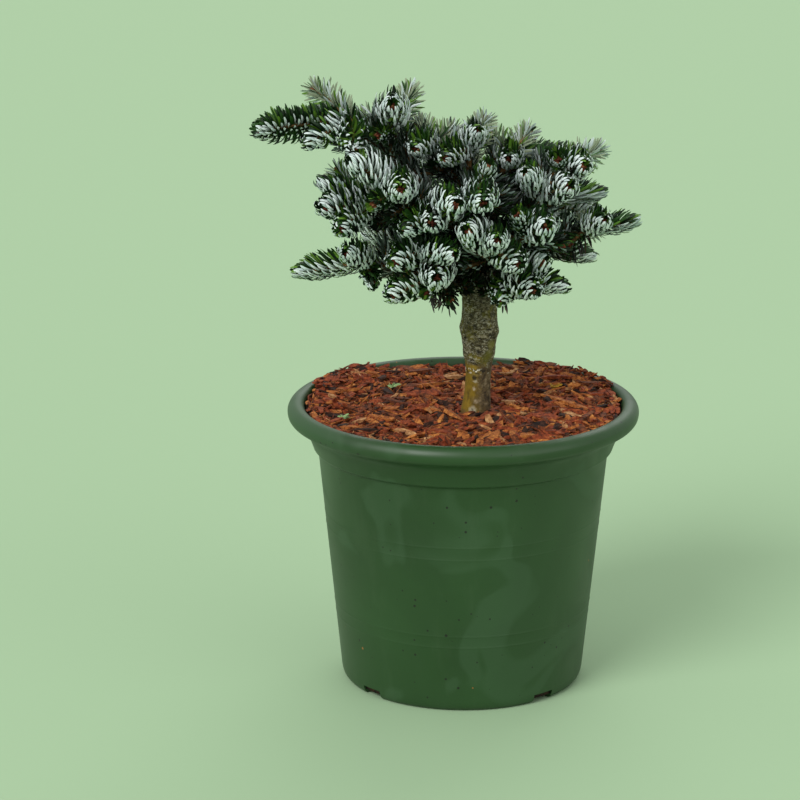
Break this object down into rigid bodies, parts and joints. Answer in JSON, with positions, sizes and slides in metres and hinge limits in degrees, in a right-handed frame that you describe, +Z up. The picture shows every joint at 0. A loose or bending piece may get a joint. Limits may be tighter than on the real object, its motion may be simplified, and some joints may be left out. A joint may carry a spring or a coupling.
{
  "type": "potted korean fir",
  "caption": "Dwarf Korean fir grafted on a short stem, its dense crown of stubby silver-green shoots spreading over a round green nursery pot topped with bark mulch.",
  "frame": {"origin": "middle of the pot's flat underside", "axes": "+Z up along the pot's axis, -Y towards the front, +X to the right as seen from the front"},
  "size_m": [0.2833, 0.262, 0.459],
  "materials": {
    "pot_plastic": "satin dark green",
    "bark_mulch": "rough red-brown bark chips",
    "trunk_bark": "rough bark",
    "bough_bark": "rough bark",
    "needles": "matt silver-green needles"
  },
  "bodies": {
    "root": {"pot": "pot_plastic", "growing_medium": "bark_mulch", "trunk": "trunk_bark", "bough_far_left": "bough_bark", "bough_top_left": "bough_bark", "bough_top_mid_left": "bough_bark", "bough_top_right": "bough_bark", "bough_right_top": "bough_bark", "bough_right_mid": "bough_bark", "bough_right_arm": "bough_bark", "bough_front_right": "bough_bark", "bough_front_mid": "bough_bark", "bough_front_mid_left": "bough_bark", "bough_front_low": "bough_bark", "bough_front_left": "bough_bark", "bough_left_mid": "bough_bark", "bough_left_low": "bough_bark", "bough_low_left": "bough_bark", "bough_bottom_left": "bough_bark", "bough_bottom_right": "bough_bark", "bough_rear_low_1": "bough_bark", "bough_rear_low_2": "bough_bark", "bough_rear_low_3": "bough_bark", "bough_rear_mid_1": "bough_bark", "bough_rear_mid_2": "bough_bark", "bough_rear_mid_3": "bough_bark", "bough_rear_high_1": "bough_bark", "bough_rear_high_2": "bough_bark", "bough_rear_high_3": "bough_bark", "mass_far_left": "needles", "mass_top_left": "needles", "mass_top_mid_left": "needles", "mass_top_mid": "needles", "mass_top_right": "needles", "mass_right_top": "needles", "mass_right_mid": "needles", "mass_right_arm": "needles", "mass_front_right": "needles", "mass_front_mid": "needles", "mass_front_mid_left": "needles", "mass_front_low": "needles", "mass_front_left": "needles", "mass_left_mid": "needles", "mass_left_low": "needles", "mass_low_left": "needles", "mass_bottom_left": "needles", "mass_bottom_right": "needles", "mass_rear_low_1": "needles", "mass_rear_low_2": "needles", "mass_rear_low_3": "needles", "mass_rear_mid_1": "needles", "mass_rear_mid_2": "needles", "mass_rear_mid_3": "needles", "mass_rear_high_1": "needles", "mass_rear_high_2": "needles", "mass_rear_high_3": "needles"}
  },
  "joints": []
}
